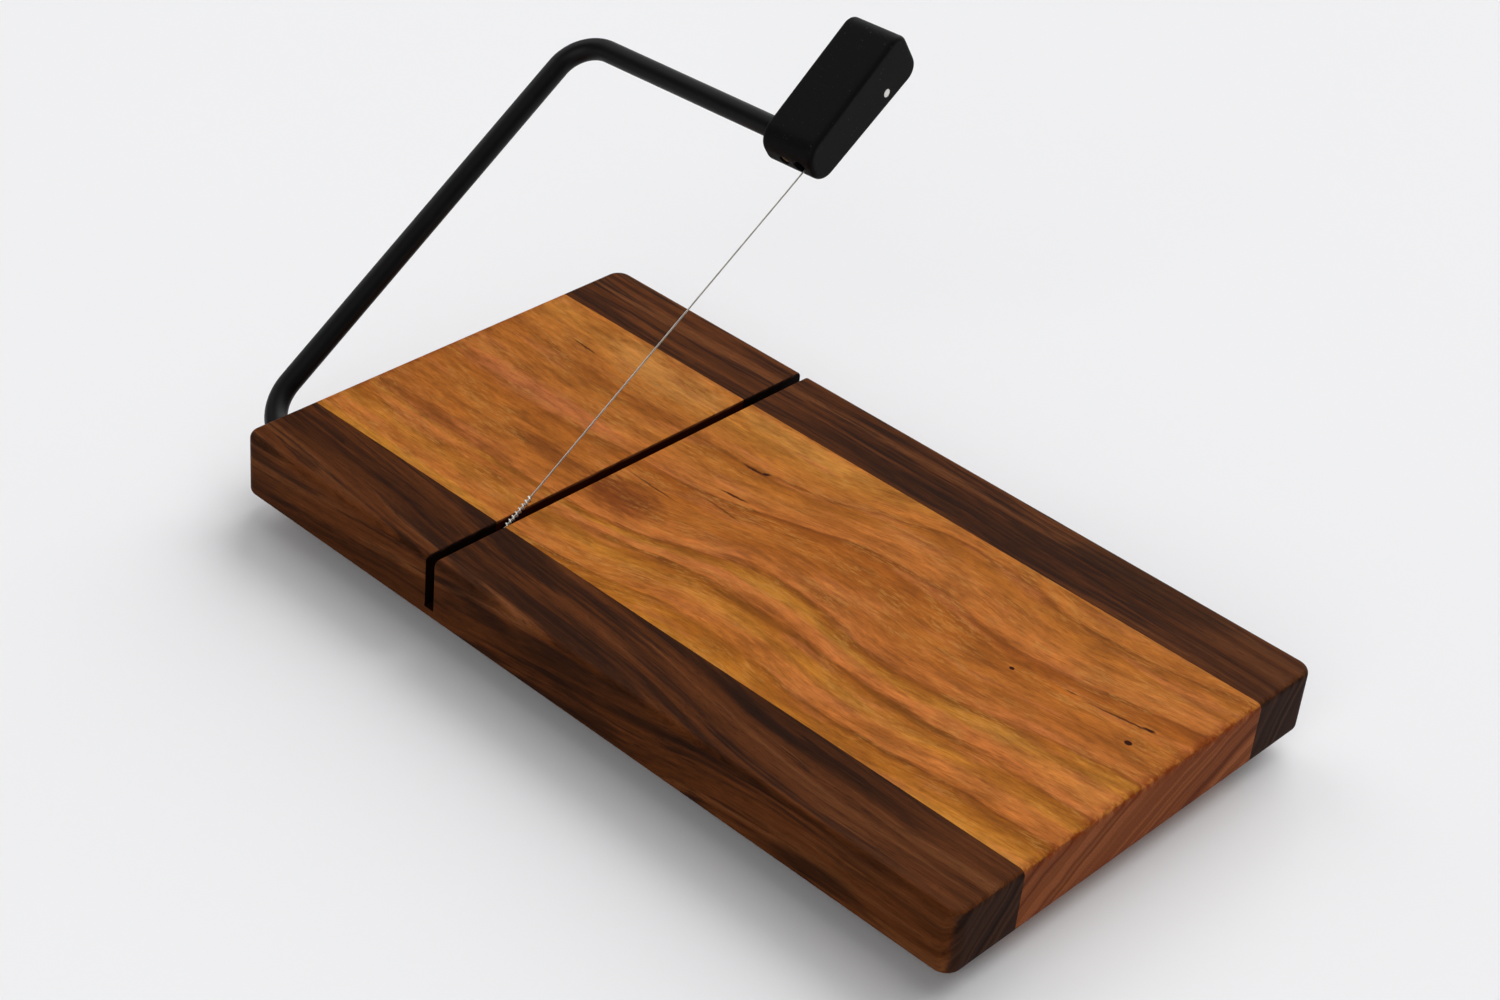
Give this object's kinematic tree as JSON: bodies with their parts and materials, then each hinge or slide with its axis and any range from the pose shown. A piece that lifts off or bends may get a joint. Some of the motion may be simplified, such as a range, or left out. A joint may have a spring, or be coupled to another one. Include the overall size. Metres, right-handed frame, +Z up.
{
  "type": "cheese wire cutter",
  "caption": "Laminated wooden cheese board with a saw kerf across it and a hinged bent rod arm, whose black handle holds a taut cutting wire that drops into the kerf.",
  "frame": {"origin": "middle of the whole part's outline on the surface that it stands on, with the arm at its rest angle", "axes": "+X along the board's length, away from the end that the arm enters; +Y across the board, from the edge by the arm's pivot to the far edge; +Z up"},
  "size_m": [0.2684, 0.1714, 0.124],
  "materials": {
    "walnut": "oiled, satin",
    "cherry": "oiled, satin",
    "black_steel": "satin black powder coat",
    "black_plastic": "fine satin texture",
    "black_rubber": "matte",
    "zinc_steel": "bright plated",
    "wire_steel": "drawn wire"
  },
  "bodies": {
    "board": {"front_strip": "walnut", "centre_panel": "cherry", "back_strip": "walnut", "foot_front_left": "black_rubber", "foot_front_right": "black_rubber", "foot_back_left": "black_rubber", "foot_back_right": "black_rubber", "foot_washer_front_left": "zinc_steel", "foot_washer_front_right": "zinc_steel", "foot_washer_back_left": "zinc_steel", "foot_washer_back_right": "zinc_steel", "foot_screw_front_left": "zinc_steel", "foot_screw_front_right": "zinc_steel", "foot_screw_back_left": "zinc_steel", "foot_screw_back_right": "zinc_steel"},
    "arm": {"arm_rod": "black_steel", "handle": "black_plastic", "set_screw": "zinc_steel", "wire_pin": "zinc_steel", "cutting_wire": "wire_steel"}
  },
  "joints": [
    {"name": "arm_swing", "type": "hinge", "parent": "board", "child": "arm", "pos_m": [-0.11577, -0.07164, 0.0165], "axis": [1, 0, 0], "range_deg": [-35.5, 148.5]}
  ]
}
